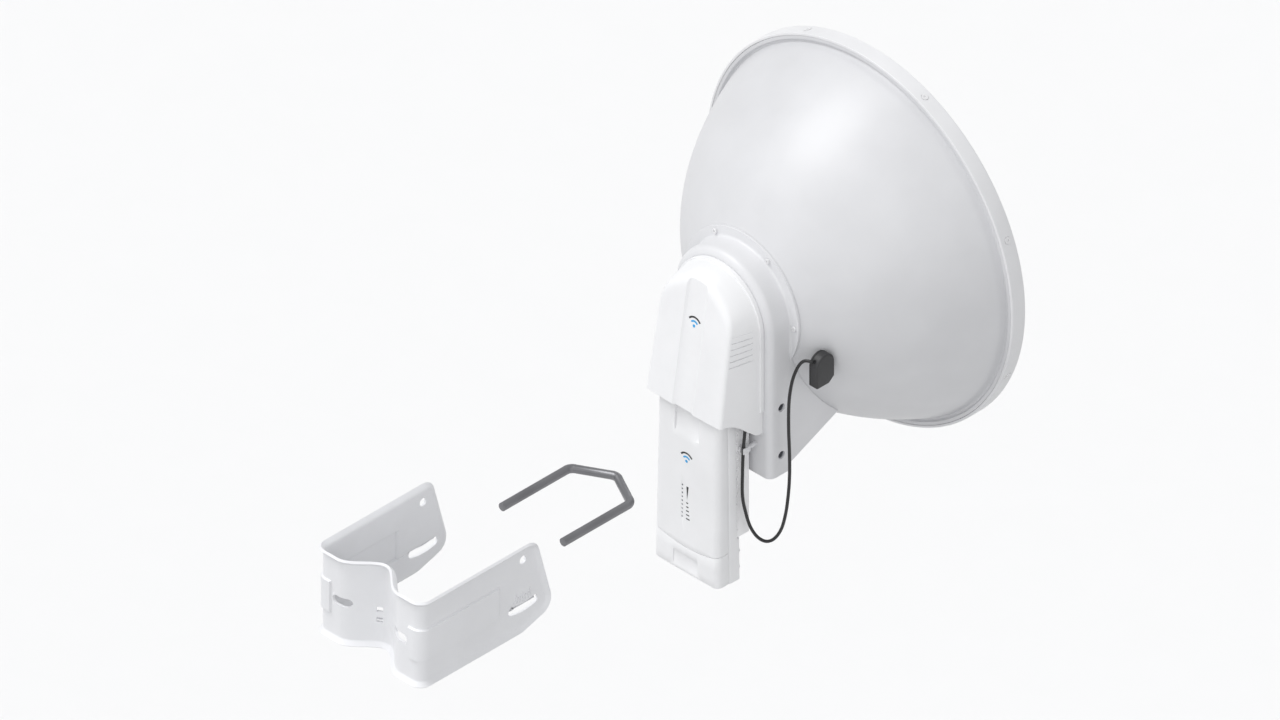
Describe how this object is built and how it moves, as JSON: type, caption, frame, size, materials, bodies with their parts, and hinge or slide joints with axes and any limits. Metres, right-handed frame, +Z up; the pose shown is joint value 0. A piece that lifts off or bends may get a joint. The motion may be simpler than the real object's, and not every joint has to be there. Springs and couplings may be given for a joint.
{
  "type": "outdoor wireless bridge",
  "caption": "Deep dish antenna with a slide-in radio under an arched rear cover, a small cabled position receiver, and a stamped tilt bracket with a V-bolt for a pole.",
  "frame": {"origin": "where the pole touches the middle of the bracket's web, level with the V-bolt", "axes": "+Y along the boresight from the pole towards the far station, +X to the right seen from behind the dish, +Z up"},
  "size_m": [0.3779, 0.6336, 0.4475],
  "materials": {
    "bracket_paint": "satin white powder coat on stamped steel",
    "zinc_steel": "dull grey plated rod",
    "insert_steel": "dull grey threaded sleeves",
    "dish_plastic": "fine white moulded plastic",
    "frame_plastic": "white moulded plastic",
    "cover_plastic": "smooth white moulded plastic",
    "radio_plastic": "smooth white moulded plastic",
    "cap_plastic": "smooth white moulded plastic",
    "seal_rubber": "matt black seal",
    "screw_steel": "bright stainless screws",
    "feed_aluminium": "machined",
    "feed_plastic": "moulded",
    "lead_jacket": "brown jacket",
    "sink_aluminium": "bright cast fins",
    "pad_gray": "soft heat pad",
    "board_green": "lacquered board",
    "shield_steel": "tinned steel",
    "connector_brass": "plated",
    "socket_plastic": "moulded socket",
    "lamp_plastic": "tinted light pipes",
    "cable_black": "black cable jacket",
    "receiver_plastic": "charcoal moulded plastic",
    "patch_ceramic": "ceramic patch on a small board",
    "pad_rubber": "black foot"
  },
  "bodies": {
    "bracket": {"pole_bracket": "bracket_paint"},
    "v_bolt": {"v_bolt": "zinc_steel"},
    "tilt_pivots": {"pivot_inserts": "insert_steel"},
    "antenna": {"tilt_inserts": "insert_steel", "reflector_shell": "dish_plastic", "front_radome": "dish_plastic", "rim_gasket": "seal_rubber", "rim_screws": "screw_steel", "hub_frame": "frame_plastic", "hub_gasket": "seal_rubber", "hub_screws": "screw_steel", "feed_coupler": "feed_aluminium", "feed_tube": "feed_aluminium", "feed_horn": "feed_aluminium", "sub_reflector": "feed_plastic", "rf_pigtails": "lead_jacket", "radio_front_shell": "radio_plastic", "radio_back_shell": "radio_plastic", "radio_gasket": "seal_rubber", "heat_sink": "sink_aluminium", "thermal_pad": "pad_gray", "radio_pcb": "board_green", "rf_shield": "shield_steel", "rf_connectors": "connector_brass", "gps_connector": "connector_brass", "data_port": "socket_plastic", "power_port": "socket_plastic", "light_pipes": "lamp_plastic", "case_screws": "screw_steel", "cable_clip": "frame_plastic", "gps_cable": "cable_black", "gps_plug": "connector_brass", "gps_housing": "receiver_plastic", "gps_base": "receiver_plastic", "gps_board": "patch_ceramic", "gps_pad": "pad_rubber"},
    "rear_cover": {"rear_cover": "cover_plastic"},
    "port_cap": {"port_cap": "cap_plastic"}
  },
  "joints": [
    {"name": "antenna_seat", "type": "slide", "parent": "bracket", "child": "tilt_pivots", "axis": [0, -1, 0], "range_m": [0, 0.322]},
    {"name": "v_bolt_seat", "type": "slide", "parent": "bracket", "child": "v_bolt", "axis": [0, -1, 0], "range_m": [0, 0.272]},
    {"name": "elevation_tilt", "type": "hinge", "parent": "tilt_pivots", "child": "antenna", "pos_m": [0, 0.4253, 0.0313], "axis": [1, 0, 0], "range_deg": [-15, 15]},
    {"name": "cover_lift", "type": "slide", "parent": "antenna", "child": "rear_cover", "axis": [0, 0, 1], "range_m": [0, 0.14]},
    {"name": "port_cap_slide", "type": "slide", "parent": "antenna", "child": "port_cap", "axis": [0, 0, -1], "range_m": [0, 0.04]}
  ],
  "couplings": [
    {"joint": "v_bolt_seat", "follows": "antenna_seat", "ratio": 0.8447}
  ]
}
